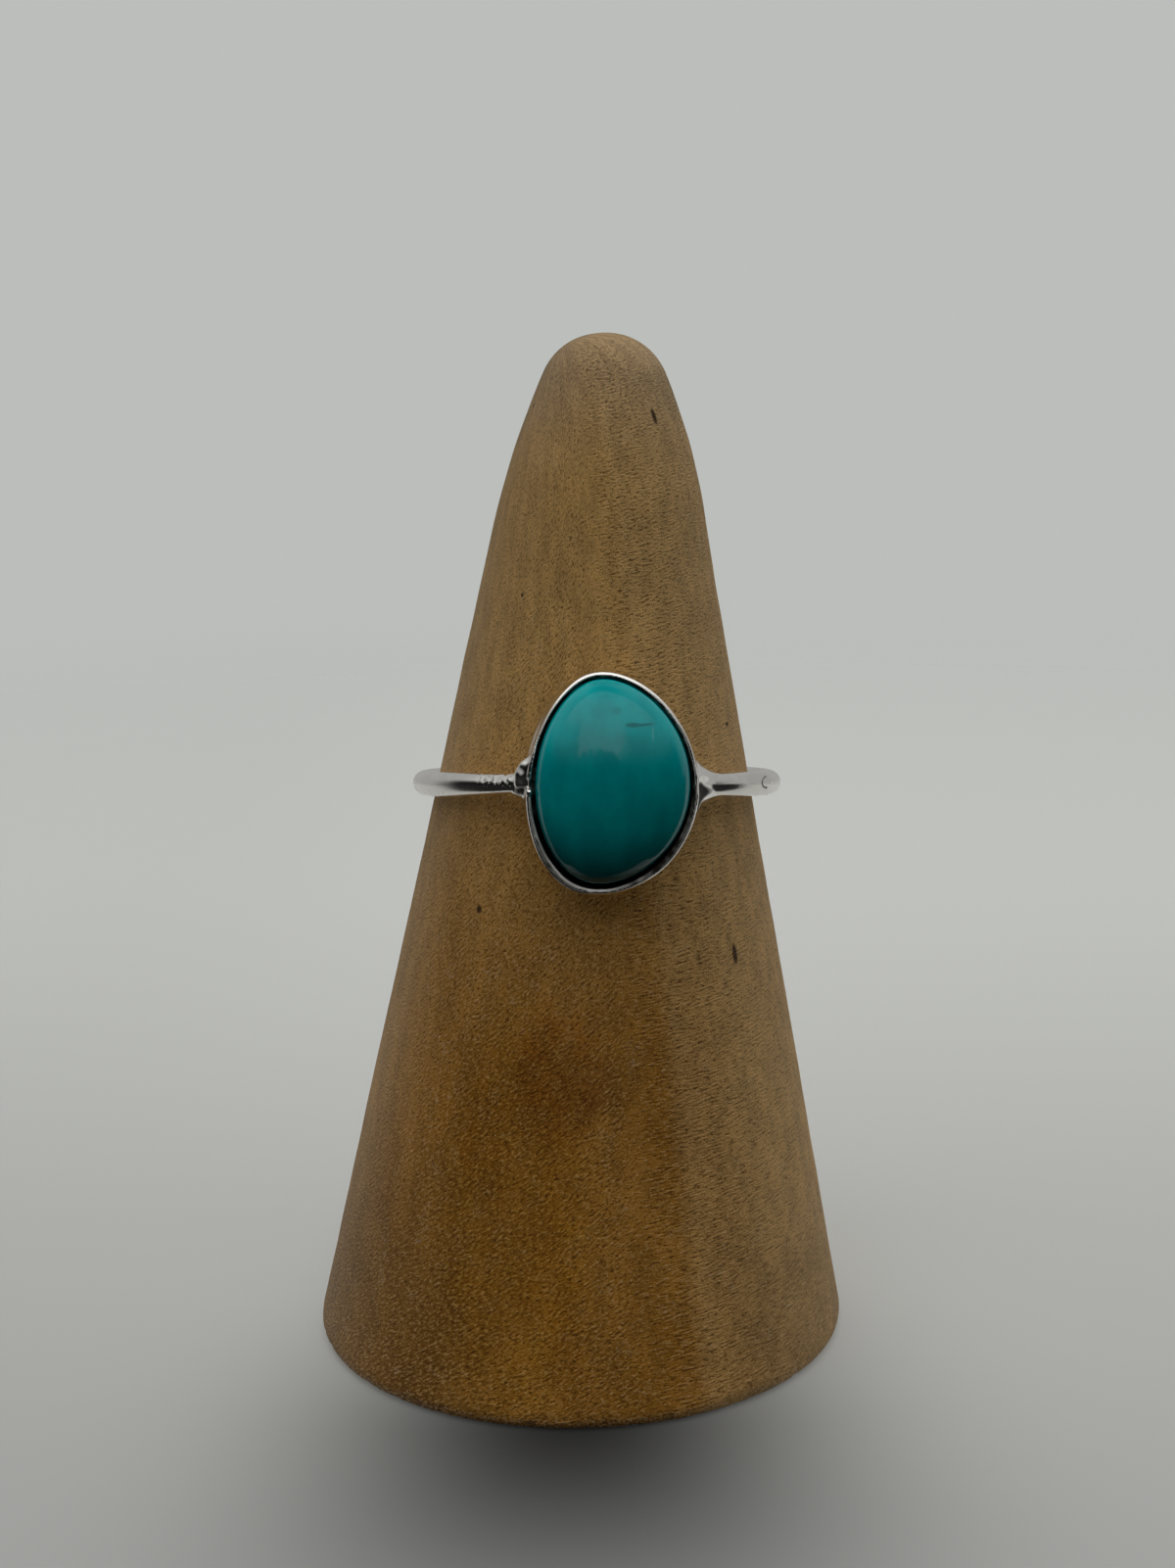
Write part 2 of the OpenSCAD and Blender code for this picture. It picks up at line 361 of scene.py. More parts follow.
def wire_field(points):
    """Distance to the round wire."""
    x, y, z = points.T
    out = np.abs(x)
    joint_x = by_side(x, JOINT_X)
    end_r = by_side(x, WIRE_END_R)
    bow_r = (SHANK_R * math.sin(BOW_START) - joint_x) / (math.sin(BOW_START) - math.sin(BOW_END))

    def distance(centre_x, centre_y, r, turn, along):
        """Distance to an arc, nearest at the angle turn, where the wire's length from its end is along."""
        wire_x, wire_y = centre_x + r * np.sin(turn), centre_y - r * np.cos(turn)
        rise = by_side(x, WIRE_RISE) * (np.maximum(0, -wire_y) / SHANK_R) ** 2
        thick = end_r + (WIRE_R - end_r) * smoothstep(0, TAPER_LENGTH, along)
        return np.sqrt((out - wire_x) ** 2 + (y - wire_y) ** 2 + (z - rise) ** 2) - thick

    centre_x = -(bow_r - SHANK_R) * math.sin(BOW_START)
    centre_y = (bow_r - SHANK_R) * math.cos(BOW_START)
    turn = np.clip(np.arctan2(out - centre_x, centre_y - y), BOW_END - WIRE_OVERLAP / bow_r, BOW_START)
    bow = distance(centre_x, centre_y, bow_r, turn, bow_r * (turn - BOW_END))
    turn = np.maximum(np.arctan2(out, -y), BOW_START)
    back = distance(0, 0, SHANK_R, turn, bow_r * (BOW_START - BOW_END) + SHANK_R * (turn - BOW_START))
    return np.minimum(bow, back)


def hammered(points):
    """How far a point lies in the hammered patch, from 0 to 1."""
    x, y, z = points.T
    patch_x, patch_z, half_length, half_height = HAMMERED_PATCH
    return np.exp(-((x - patch_x) / half_length) ** 4 - ((z - patch_z) / half_height) ** 2) * (y < -7)


def behind_strip_end(points):
    """1 just above the strip's visible end on the left, where the strip lies deeper, and 0 elsewhere."""
    x, _, z = points.T
    above = smoothstep(STRIP_END_Z - 0.05, STRIP_END_Z + 0.05, z) * smoothstep(0.75, 0.5, z)
    return np.where(x < -2.5, above, 0)


def wall_field(points):
    """Distance to the outer face of the bezel's wall, and the direction it faces."""
    x, y, z = points.T
    wall, a = outline_distance(x, z, BEZEL_REACH, BEZEL_UP)
    lean = WALL_LEAN
    for direction, width, far in WALL_LEANS:
        sharpness = 1 - math.cos(math.radians(width))
        lean = lean + far * np.exp((np.cos(a - math.radians(direction)) - 1) / sharpness)
    near_rim = smoothstep(RIM_TOP - 1.4, RIM_TOP - 0.1, -y)
    return wall + lean * near_rim + unevenness(points, WALL_WAVES), a


def bezel_fields(points):
    """The bezel's wall, and the space inside it, which has to stay free of metal."""
    x, y, z = points.T
    depth = -y
    wall, a = wall_field(points)
    top = depth - RIM_TOP - RIM_SLOPE * np.clip(wall, -0.3, 0) + STRIP_DROP * behind_strip_end(points)
    top = top - unevenness(points, RIM_WAVES)
    at_side = smoothstep(0.72, 0.93, np.abs(np.cos(a)))
    at_low_right = smoothstep(0.35, 0.6, np.cos(a - LOW_RIGHT))
    steep = np.maximum(at_side, at_low_right)
    tilt = RIM_TILT["middle"] + (RIM_TILT["side"] - RIM_TILT["middle"]) * steep
    bevel = np.sin(tilt) * wall + np.cos(tilt) * top + upper(a, RIM_BEVEL)
    lip, _ = outline_distance(x, z, LIP_REACH, LIP_UP)
    lip = lip + unevenness(points, LIP_WAVES)
    body = round_cut(round_cut(wall, top, RIM_EDGE_R), bevel, RIM_EDGE_R)
    body = round_cut(body, -lip, LIP_EDGE_R)
    return np.maximum(body, BEZEL_BACK - depth), np.maximum(lip, BEZEL_BACK + PLATE_T / 2 - depth)


def ring_field(points):
    """Distance to the front of the ring: wall, wire, solder and the end of the bezel's strip."""
    wall, cup = bezel_fields(points)
    wire = wire_field(points) + hammered(points) * (HAMMER_DEPTH + unevenness(points, HAMMER_DENTS))
    x, _, z = points.T
    aside = smoothstep(0.1, 0.6, np.abs(z - by_side(x, WIRE_RISE)))
    front_r = by_side(x, FRONT_FILLET_R)
    fillet_r = front_r + (by_side(x, FILLET_R) - front_r) * aside
    field = round_join(wall, wire, fillet_r)
    rough = unevenness(points, SOLDER_WAVES)
    for *centre, size in SOLDER_LUMPS:
        field = round_join(field, distance_to(points, centre) - size + rough, SOLDER_JOIN_R)
    bead = distance_to(points, STRIP_END_BEAD) - STRIP_END_R
    return np.maximum(round_join(field, bead, BEAD_JOIN_R), -cup)


# Tarnish on the silver, and a painted dark reflection at the right joint, from 0 where it is clean to 1 where
# it is darkest

def rim_tarnish(points, wall, lip, a):
    """The dark top of the rim inside its clean edge, paler at the lower left and along the lip there."""
    clean = upper(a, CLEAN_RIM) + unevenness(points, CLEAN_RIM_WAVES)
    on_top = smoothstep(RIM_TOP - 0.7, RIM_TOP - 0.4, -points[:, 1])
    within = smoothstep(clean - 0.02, clean + 0.02, -wall)
    groove = np.exp(-((wall + clean + 0.03) / 0.03) ** 2)
    at_low_left = smoothstep(-0.1, 0.6, np.cos(a - LOW_LEFT))
    face = np.clip(0.85 - 0.25 * at_low_left + unevenness(points, RIM_MOTTLE), 0.3, 1)
    lip_edge = at_low_left * smoothstep(0.16, 0.09, lip) * smoothstep(0.0, 0.05, lip)
    face = np.maximum(face, groove) * (1 - 0.6 * lip_edge)
    deep = smoothstep(0.8, 1, behind_strip_end(points)) * 0.9
    return np.maximum(face, deep) * on_top * within


def joint_tarnish_and_painted_reflection(points, wall):
    """The crease at the left joint, and a dark pool beside the wall at each joint. The pool at the right
    joint is a painted dark reflection.
    """
    x, _, z = points.T
    crease = smoothstep(0.3, 0.08, np.abs(wall) + np.abs(wire_field(points))) * 0.85 * (x < 0)
    wedge = 0.22 + 0.75 * np.exp(-((z + 0.12) / 0.3) ** 2)
    # Painted dark reflection on the flare beside the wall at the right joint
    painted_reflection_pool = smoothstep(wedge, wedge / 2, wall) * smoothstep(0.5, 0.25, z) * smoothstep(-1.2, -0.9, z)
    left_pool = smoothstep(0.5, 0.2, wall) * smoothstep(0.3, 0.05, z) * smoothstep(-0.3, -0.1, z)
    outside = smoothstep(-0.02, 0.05, wall)
    return np.maximum(crease, np.where(x > 0, painted_reflection_pool, left_pool) * outside * 0.92)


def wire_tarnish(points):
    """The curved mark of a seam, and pits in the hammered patch."""
    x, y, z = points.T
    mark_x, mark_z, mark_r = SEAM_MARK
    off_mark = np.abs(np.hypot(x - mark_x, z - mark_z) - mark_r)
    mark = smoothstep(0.05, 0.02, off_mark) * (x < 8.8) * (x > 8) * (y < -3) * 0.75
    pits = hammered(points) * smoothstep(1.1, 1.6, ripple(points, 0.13, 33)) * 0.9
    return np.maximum(mark, pits)


def solder_tarnish(points):
    """The dull skin of the solder lumps."""
    near = np.zeros(len(points))
    for *centre, size in SOLDER_LUMPS:
        near = np.maximum(near, smoothstep(size + 0.15, size - 0.05, distance_to(points, centre)))
    return near * np.clip(0.22 + unevenness(points, SOLDER_MOTTLE), 0, 0.8)


def tarnish_and_painted_reflection_of(points):
    """How dark the silver is at points of the ring, from its tarnish and from the painted dark reflection at
    the right joint. The bead at the strip's end stays clean.
    """
    x, y, z = points.T
    wall, a = wall_field(points)
    lip, _ = outline_distance(x, z, LIP_REACH, LIP_UP)
    inside = smoothstep(0.06, 0.0, lip) * (-y > BEZEL_BACK + PLATE_T / 2)
    near_bezel = smoothstep(-6, -7, y)
    at_joints = joint_tarnish_and_painted_reflection(points, wall) * near_bezel
    dark = np.maximum.reduce([rim_tarnish(points, wall, lip, a), inside, at_joints, wire_tarnish(points),
                              solder_tarnish(points)])
    bead = smoothstep(STRIP_END_R + 0.06, STRIP_END_R, distance_to(points, STRIP_END_BEAD))
    return np.clip(dark * (1 - 0.95 * bead), 0, 1)


# Silver ring, as a mesh

def surface_net(field, low, high, cell):
    """Points and quads of the surface where the field is zero.

    The field is worked out on a fine grid, but only in those blocks of it that the surface may cross.
    """
    block = 4
    near_share = 1.3
    batch = 200000
    fine_batch = 3000
    low, high = np.array(low), np.array(high)
    blocks = np.ceil((high - low) / (cell * block)).astype(int)
    corner = np.stack(np.meshgrid(*(np.arange(n) for n in blocks), indexing="ij"), -1).reshape(-1, 3)
    middle = low + (corner + 0.5) * block * cell
    near = np.concatenate([np.abs(field(part)) < cell * block * near_share
                           for part in np.array_split(middle, max(1, len(middle) // batch))])
    offsets = np.stack(np.meshgrid(*(np.arange(block + 1),) * 3, indexing="ij"), -1).reshape(-1, 3)
    values = np.full(blocks * block + 1, np.inf, np.float32)
    for part in np.array_split(corner[near], max(1, near.sum() // fine_batch)):
        fine = (part[:, None, :] * block + offsets[None]).reshape(-1, 3)
        values[tuple(fine.T)] = field(low + fine * cell)

    # A cell holds one point of the surface if its corners are all known and lie on both sides of the surface
    shape = tuple(n - 1 for n in values.shape)
    some, every, known = np.zeros(shape, bool), np.ones(shape, bool), np.ones(shape, bool)
    for i, j, k in itertools.product((0, 1), repeat=3):
        at_corner = values[i:i + shape[0], j:j + shape[1], k:k + shape[2]]
        some |= at_corner < 0
        every &= at_corner < 0
        known &= np.isfinite(at_corner)
    active = some & ~every & known
    cells = np.argwhere(active)
    index = np.full(shape, -1, np.int32)
    index[active] = np.arange(len(cells))

    # The point is the mean of the places where the surface crosses the cell's edges
    total = np.zeros((len(cells), 3))
    count = np.zeros(len(cells))
    unit = np.eye(3, dtype=int)
    for axis in range(3):
        u, v = unit[(axis + 1) % 3], unit[(axis + 2) % 3]
        for shift in (0 * u, u, v, u + v):
            start = cells + shift
            a = values[tuple(start.T)]
            b = values[tuple((start + unit[axis]).T)]
            crossing = (a < 0) != (b < 0)
            share = np.where(crossing, a / np.where(crossing, a - b, 1), 0)
            total += np.where(crossing[:, None], start + share[:, None] * unit[axis], 0)
            count += crossing
    points = low + total / count[:, None] * cell

    # Each crossed edge of the grid gives a quad between the four cells round it
    inside = values < 0
    quads = []
    for axis in range(3):
        u, v = unit[(axis + 1) % 3], unit[(axis + 2) % 3]
        here = np.argwhere(np.diff(inside.astype(np.int8), axis=axis) != 0)
        here = here[(here @ u >= 1) & (here @ v >= 1) & np.all(here < np.array(shape), axis=1)]
        ring = np.stack([index[tuple(here.T)], index[tuple((here - u).T)],
                         index[tuple((here - u - v).T)], index[tuple((here - v).T)]], axis=1)
        leaving = inside[tuple(here.T)]
        ring = np.where(leaving[:, None], ring, ring[:, ::-1])
        quads.append(ring[np.all(ring >= 0, axis=1)])
    return points, np.concatenate(quads)


def settle(points, field):
    """Moves points along the slope of the field onto its surface."""
    rounds, step, least_slope, most_move = 4, 0.004, 0.05, 0.03
    for _ in range(rounds):
        value = field(points)
        slope = np.stack([(field(points + e) - field(points - e)) / (2 * step)
                          for e in step * np.eye(3)], axis=1)
        move = slope * (value / np.maximum((slope ** 2).sum(1), least_slope))[:, None]
        points = points - np.clip(move, -most_move, most_move)
    return points


def ring_place():
    return Matrix.Translation(Vector(RING_PLACE) * MM) @ Euler(RING_TURN).to_matrix().to_4x4()


def shank_back():
    """Points and faces of the plain back of the shank, whose ends lie just inside the front's open ends."""
    rows, columns = 201, 40
    overlap, thinner = 0.02, 0.004
    start = math.acos(-FRONT_END_Y / SHANK_R) - overlap
    turn = np.linspace(start, 2 * math.pi - start, rows)
    side = full_turn(columns)
    thick = np.full(rows, WIRE_R)
    thick[[0, 1, -2, -1]] = WIRE_R - thinner
    out = SHANK_R + thick[:, None] * np.cos(side)
    rise = by_side(np.sin(turn), WIRE_RISE) * np.maximum(0, np.cos(turn)) ** 2
    x, y = out * np.sin(turn)[:, None], -out * np.cos(turn)[:, None]
    z = rise[:, None] + thick[:, None] * np.sin(side)
    points = np.stack([x, y, z], -1).reshape(-1, 3)
    ends = np.stack([points[:columns].mean(0), points[-columns:].mean(0)])
    return np.concatenate([points, ends]), lathe_faces(rows, columns)


def back_plate():
    """Points and faces of the plain plate behind the stone, whose edge is inside the wall."""
    columns = 120
    recess = 0.02
    edge = outline_points((BEZEL_REACH + LIP_REACH) / 2, BEZEL_UP, full_turn(columns))
    depths = (BEZEL_BACK + recess, BEZEL_BACK + PLATE_T)
    rows = [np.column_stack([edge[:, 0], np.full(columns, -depth), edge[:, 1]]) for depth in depths]
    ends = np.array([[0, -depth, BEZEL_UP] for depth in depths])
    return np.concatenate(rows + [ends]), lathe_faces(len(depths), columns)


def silver_ring(material):
    """Shank, solder and bezel as one skin, with the plain plate behind the stone joined to it."""
    points, quads = surface_net(ring_field, NET_LOW, NET_HIGH, NET_CELL)
    parts = [(settle(points, ring_field), quads.tolist()), shank_back(), back_plate()]
    points, faces = np.zeros((0, 3)), []
    for part_points, part_faces in parts:
        faces += [[len(points) + i for i in face] for face in part_faces]
        points = np.concatenate([points, part_points])
    piece = mesh_piece("silver_skin", points, faces, material, ring_place(), tarnish_and_painted_reflection_of(points))
    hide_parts("silver_ring")


# Stone

def stone(material):
    """The cabochon: straight sides inside the bezel, then a smooth dome."""
    columns = 240
    dome_rows = 60
    dome_power = 2.3
    bevel_share = 0.04
    bevel_h = 0.3
    dome_spring = RIM_TOP - 0.25
    dome_top = RIM_TOP + DOME_H
    centre = np.array([STONE_X, BEZEL_UP + STONE_UP])
    girdle = outline_points(STONE_REACH, centre[1], full_turn(columns)) + np.array([STONE_X, 0])
    rises = np.sin(np.linspace(0, math.pi / 2, dome_rows + 1))[:-1]
    levels = [(1 - bevel_share, STONE_FLOOR), (1, STONE_FLOOR + bevel_h)]
    levels += [((1 - t ** dome_power) ** 0.5, dome_spring + (dome_top - dome_spring) * t) for t in rises]
    rows = []
    for share, depth in levels:
        flat = centre + (girdle - centre) * share
        rows.append(np.column_stack([flat[:, 0], np.full(columns, -depth), flat[:, 1]]))
    ends = [[centre[0], -STONE_FLOOR, centre[1]], [centre[0], -dome_top, centre[1]]]
    points = np.concatenate(rows + [np.array(ends)])
    piece = mesh_piece("turquoise_cabochon", points, lathe_faces(len(rows), columns), material, ring_place())
    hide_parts("turquoise_stone")


# Materials

class Shader:
    """A node tree built one node at a time. An input is a number, a colour or another node's output."""

    def __init__(self, owner):
        owner.use_nodes = True
        self.owner = owner
        self.tree = owner.node_tree
        self.surface = self.tree.nodes.get("Principled BSDF")

    def node(self, kind, inputs, **settings):
        made = self.tree.nodes.new("ShaderNode" + kind)
        for name, value in settings.items():
            setattr(made, name, value)
        self.set(made, inputs)
        return made

    def set(self, node, inputs):
        for socket, value in inputs.items():
            if isinstance(value, bpy.types.NodeSocket):
                self.tree.links.new(value, node.inputs[socket])
            else:
                node.inputs[socket].default_value = value

    def output(self, shader):
        """Shows a shader as the surface of the material or the world."""
        out = next(n for n in self.tree.nodes if n.type in ("OUTPUT_MATERIAL", "OUTPUT_WORLD"))
        self.tree.links.new(shader, out.inputs["Surface"])

    def clear(self):
        return self.node("BsdfTransparent", {}).outputs[0]

    def either(self, factor, a, b):
        """Shader a where the factor is 0, and b where it is 1."""
        return self.node("MixShader", {0: factor, 1: a, 2: b}).outputs[0]

    def position(self):
        """Object coordinates in millimetres."""
        start = self.node("TexCoord", {}).outputs["Object"]
        return self.stretch(start, (1 / MM, 1 / MM, 1 / MM))

    def in_ring(self):
        """Coordinates in the ring's own frame, in millimetres."""
        inputs = {"Vector": self.node("TexCoord", {}).outputs["Object"], "Location": Vector(RING_PLACE) * MM,
                  "Rotation": RING_TURN, "Scale": (MM, MM, MM)}
        return self.node("Mapping", inputs, vector_type="TEXTURE").outputs[0]

    def turn(self, vector, angles):
        return self.node("Mapping", {"Vector": vector, "Rotation": angles}).outputs[0]

    def stretch(self, vector, scale):
        return self.node("Mapping", {"Vector": vector, "Scale": scale}).outputs[0]

    def split(self, vector):
        return self.node("SeparateXYZ", {"Vector": vector}).outputs

    def vector_math(self, operation, a, b=(0, 0, 0)):
        return self.node("VectorMath", {0: a, 1: b}, operation=operation).outputs

    def noise(self, vector, size=1.0, detail=2.0, roughness=0.5):
        """Noise from 0 to 1 whose lumps are about size across."""
        return self.node("TexNoise", {"Vector": vector, "Scale": 1 / size, "Detail": detail,
                                      "Roughness": roughness}).outputs[0]

    def math(self, operation, a, b=0.0):
        return self.node("Math", {0: a, 1: b}, operation=operation).outputs[0]

    def times(self, first, *others):
        """The product of the values."""
        for value in others:
            first = self.math("MULTIPLY", first, value)
        return first

    def band(self, value, low, high, bottom=0.0, top=1.0):
        """Bottom at low and top at high, smooth between. Low may be the larger."""
        inputs = {"Value": value, "From Min": low, "From Max": high, "To Min": bottom, "To Max": top}
        return self.node("MapRange", inputs, interpolation_type="SMOOTHSTEP").outputs[0]

    def blend(self, factor, a, b):
        """A number from a to b."""
        return self.node("Mix", {0: factor, 2: a, 3: b}).outputs[0]

    def mix(self, factor, a, b, mode="MIX"):
        """A colour from a to b, or from a to a multiplied by b."""
        return self.node("Mix", {0: factor, 6: a, 7: b}, data_type="RGBA", blend_type=mode).outputs[2]

    def shade(self, colour, value):
        """A colour multiplied by a number."""
        grey = self.node("CombineXYZ", {"X": value, "Y": value, "Z": value}).outputs[0]
        return self.mix(1.0, colour, grey, "MULTIPLY")

    def spot(self, vector, centre, radii):
        """1 inside an ellipsoid and 0 outside, with a soft edge."""
        away = self.vector_math("SUBTRACT", vector, centre)[0]
        far = self.vector_math("LENGTH", self.stretch(away, tuple(1 / r for r in radii)))["Value"]
        return self.band(far, 1.2, 0.6)

    def bump(self, height, distance):
        return self.node("Bump", {"Height": height, "Distance": distance * MM, "Strength": 1.0}).outputs[0]


def new_material(name):
    return Shader(bpy.data.materials.new(name))


# Spots on the wood: distance round from the middle of the front, height, half width and half height
WOOD_PITS = [
    (-11.0, 51.6, 0.5, 0.12),
    (11.6, 51.0, 0.3, 0.45),
    (-5.4, 42.07, 0.2, 0.12),
    (14.3, 34.78, 0.3, 0.12),
    (-6.9, 26.0, 0.25, 0.22),
    (10.75, 23.1, 0.22, 0.6),
]
WOOD_STAINS = [
    (-1.6, 16.8, 2.4, 3.6),
    (-4.6, 11.0, 3.2, 9.0),
    (1.7, 17.6, 2.0, 1.7),
    (0.4, 16.4, 0.7, 1.0),
    (-3.0, 30.5, 2.2, 0.9),
]

# Oily marks: the same, then the colour that they multiply the wood by
OILY_MARKS = [
    (-3.4, 10.5, 4.4, 11.0, (1.0, 0.93, 0.5, 1)),
    (-0.7, 18.2, 2.7, 3.8, (0.80, 0.68, 0.45, 1)),
]

# The wood's low and high parts each vary between two tones, and its other colours lie over these.
# The low tones are a deeper brown and also carry painted shade, so the wood darkens towards the foot.
# The right colour is partly the wood's own paler band and partly painted light, the left colour is painted
# sheen, and FOOT_SHADE is painted shade.
LOW_WOOD_AND_SHADE = ((0.38, 0.165, 0.016, 1), (0.48, 0.225, 0.035, 1))
HIGH_WOOD = ((0.62, 0.36, 0.115, 1), (0.70, 0.42, 0.14, 1))
RIGHT_WOOD_AND_LIGHT = (0.73, 0.465, 0.19, 1)
LEFT_WOOD_SHEEN = (0.53, 0.35, 0.16, 1)
TIP_WOOD = (0.43, 0.31, 0.18, 1)
FOOT_SHADE = (0.03, 0.01, 0.0, 1)
STAIN = (0.16, 0.06, 0.004, 1)
PALE_FIBRE = (0.74, 0.46, 0.19, 1)
DARK_FIBRE = (0.10, 0.04, 0.008, 1)
LOOSE_FIBRE = (0.80, 0.62, 0.38, 1)
PIT = (0.03, 0.012, 0.004, 1)
FRAYED_EDGE = (0.66, 0.50, 0.32, 1)
UNROLL_R = 12


class WoodShader(Shader):
    """The flank unrolled: distance round from the middle of the front, which is at 0 degrees, and height."""

    def __init__(self):
        super().__init__(bpy.data.materials.new("wood"))
        x, y, self.z = self.split(self.position())
        turn = self.math("ARCTAN2", x, self.times(y, -1))
        self.degrees = self.math("DEGREES", turn)
        self.flat = self.node("CombineXYZ", {"X": self.times(turn, UNROLL_R), "Y": self.z}).outputs[0]
        once_round = (-2 * math.pi * UNROLL_R, 0, 0)
        self.flat_again = self.vector_math("ADD", self.flat, once_round)[0]
        self.to_back = self.band(self.degrees, 140, 180)
        self.off_back = self.band(self.math("ABSOLUTE", self.degrees), 160, 110)

    def closed_noise(self, across, up, detail, roughness=0.5, slant=0):
        """Noise with lumps of the given width and height. Its two ends blend into each other at the back."""
        def pattern(flat):
            turned = self.turn(flat, (0, 0, -math.radians(slant)))
            return self.noise(self.stretch(turned, (1 / across, 1 / up, 1)), 1.0, detail, roughness)
        return self.blend(self.to_back, pattern(self.flat), pattern(self.flat_again))

    def flat_spot(self, around, up, half_width, half_height):
        return self.spot(self.flat, (around, up, 0), (half_width, half_height, 1))

    def broad_tones(self):
        """Darker low down, partly as painted shade, paler at the right, partly as painted light, greyer at
        the left as painted sheen and greyer at the tip, and with painted shade beside the foot.
        """
        z, degrees = self.z, self.degrees
        low = self.mix(self.band(self.closed_noise(5, 11, 4.0), 0.38, 0.62), *LOW_WOOD_AND_SHADE)
        high = self.mix(self.band(self.closed_noise(1.6, 22, 3.0), 0.3, 0.7), *HIGH_WOOD)
        # Painted shade: the low tones darken the wood towards the foot
        tone = self.mix(self.band(z, 16, 42), low, high)
        # Partly the wood's own paler band at the right, partly painted light
        right = self.math("ADD", self.band(degrees, 22, 29, 0, 0.45), self.band(degrees, 30, 55, 0, 0.4))
        tone = self.mix(self.times(right, self.off_back), tone, RIGHT_WOOD_AND_LIGHT)
        # Painted sheen: greyer towards the left edge
        tone = self.mix(self.times(self.band(degrees, -40, -75, 0, 0.6), self.off_back), tone, LEFT_WOOD_SHEEN)
        tone = self.mix(self.band(z, 47, 55, 0, 0.8), tone, TIP_WOOD)
        tone = self.shade(tone, self.band(self.closed_noise(1.2, 2.2, 4.0, 0.6), 0.3, 0.7, 0.84, 1.16))
        # Painted shade beside the foot, at the left and the right
        left_foot = self.times(self.band(degrees, -8, -38), self.band(z, 16, 2, 0, 0.5))
        right_foot = self.times(self.band(degrees, 25, 42), self.band(z, 12, 1, 0, 0.42))
        foot = self.times(self.math("ADD", left_foot, right_foot), self.off_back)
        return self.mix(foot, tone, FOOT_SHADE)


def wood_material():
    """Sanded wood: short pale and dark fibres, slanting at the left and level at the right, on uneven tones
    that carry painted shade, light and sheen.
    """
    s = WoodShader()
    slanting = s.closed_noise(0.3, 0.125, 2.0, 0.6, slant=38)
    level = s.closed_noise(0.5, 0.115, 2.0, 0.6, slant=6)
    grain = s.blend(s.times(s.band(s.degrees, 8, 20), s.off_back), slanting, level)
    crumbs = s.closed_noise(0.13, 0.13, 3.0, 0.7)
    fuzz = s.math("ADD", s.times(grain, 0.55), s.times(crumbs, 0.45))

    tone = s.broad_tones()
    for spot in WOOD_STAINS:
        tone = s.mix(s.times(s.flat_spot(*spot), 0.3), tone, STAIN)
    in_view = s.band(s.math("ABSOLUTE", s.degrees), 30, 60, 1.0, 0.7)
    tone = s.mix(s.times(s.band(fuzz, 0.5, 0.63, 0, 0.66), in_view), tone, PALE_FIBRE)
    tone = s.mix(s.times(s.band(fuzz, 0.5, 0.37, 0, 0.85), in_view), tone, DARK_FIBRE)
    curl = s.math("ABSOLUTE", s.math("SUBTRACT", s.noise(s.flat, 0.45), 0.5))
    loose = s.times(s.band(curl, 0.022, 0.006), s.band(s.noise(s.flat, 1.3), 0.56, 0.66))
    tone = s.mix(s.times(loose, 0.3), tone, LOOSE_FIBRE)
    uneven = s.band(s.noise(s.flat, 1.1, 3.0), 0.3, 0.6, 0.35, 1)
    for *spot, colour in OILY_MARKS:
        tone = s.mix(s.times(s.flat_spot(*spot), uneven), tone, colour, "MULTIPLY")
    for spot in WOOD_PITS:
        tone = s.mix(s.times(s.flat_spot(*spot), 0.9), tone, PIT)
    fray = s.times(s.band(s.z, 0.9, 0.25), s.band(crumbs, 0.5, 0.58))
    tone = s.mix(s.times(fray, 0.7), tone, FRAYED_EDGE)
    s.set(s.surface, {"Base Color": tone, "Roughness": 0.8, "Specular IOR Level": 0.12, "Sheen Weight": 0.15,
                      "Sheen Roughness": 0.35, "Normal": s.bump(fuzz, 0.16)})
    return s.owner


BRIGHT_SILVER = ((0.80, 0.78, 0.74, 1), (0.88, 0.86, 0.82, 1))
# Colour of tarnish, also used for the painted dark reflection at the right joint
TARNISH_AND_PAINTED_REFLECTION = (0.016, 0.015, 0.011, 1)


def silver_material():
    """Worn silver: cloudy, duller at the sides, and nearly black and matt where it has tarnished and where a
    dark reflection is painted at the right joint.
    """
    s = new_material("silver")
    place = s.in_ring()
    cloud = s.noise(place, 1.2, 3.0)
    scratches = s.noise(s.stretch(place, (3, 12, 12)))
    tarnish_and_painted_reflection = s.node("Attribute", {}, attribute_name="tarnish_and_painted_reflection").outputs["Fac"]
    bright = s.mix(s.band(cloud, 0.35, 0.65), *BRIGHT_SILVER)
    colour = s.mix(s.band(tarnish_and_painted_reflection, 0.1, 0.95), bright, TARNISH_AND_PAINTED_REFLECTION)
    out = s.math("ABSOLUTE", s.split(place)[0])
    rough = s.math("ADD", s.band(cloud, 0.3, 0.7, 0.07, 0.13), s.band(tarnish_and_painted_reflection, 0.02, 0.24, 0, 0.48))
    rough = s.math("ADD", rough, s.band(out, 5.5, 9, 0, 0.16))
    s.set(s.surface, {"Base Color": colour, "Metallic": 1.0, "Roughness": rough,
                      "Normal": s.bump(scratches, 0.004)})
    return s.owner


TURQUOISE = ((0.0, 0.335, 0.35, 1), (0.0, 0.41, 0.42, 1))
DARK_MARK = (0.0, 0.14, 0.15, 1)
PAINTED_SHADOW_MARK = (0.0, 0.2, 0.22, 1)
PALE_MARK = (0.2, 0.6, 0.6, 1)
MARK_Y = -13
MARK_DEPTH = 9
SLIVER_SLOPE = math.radians(5)


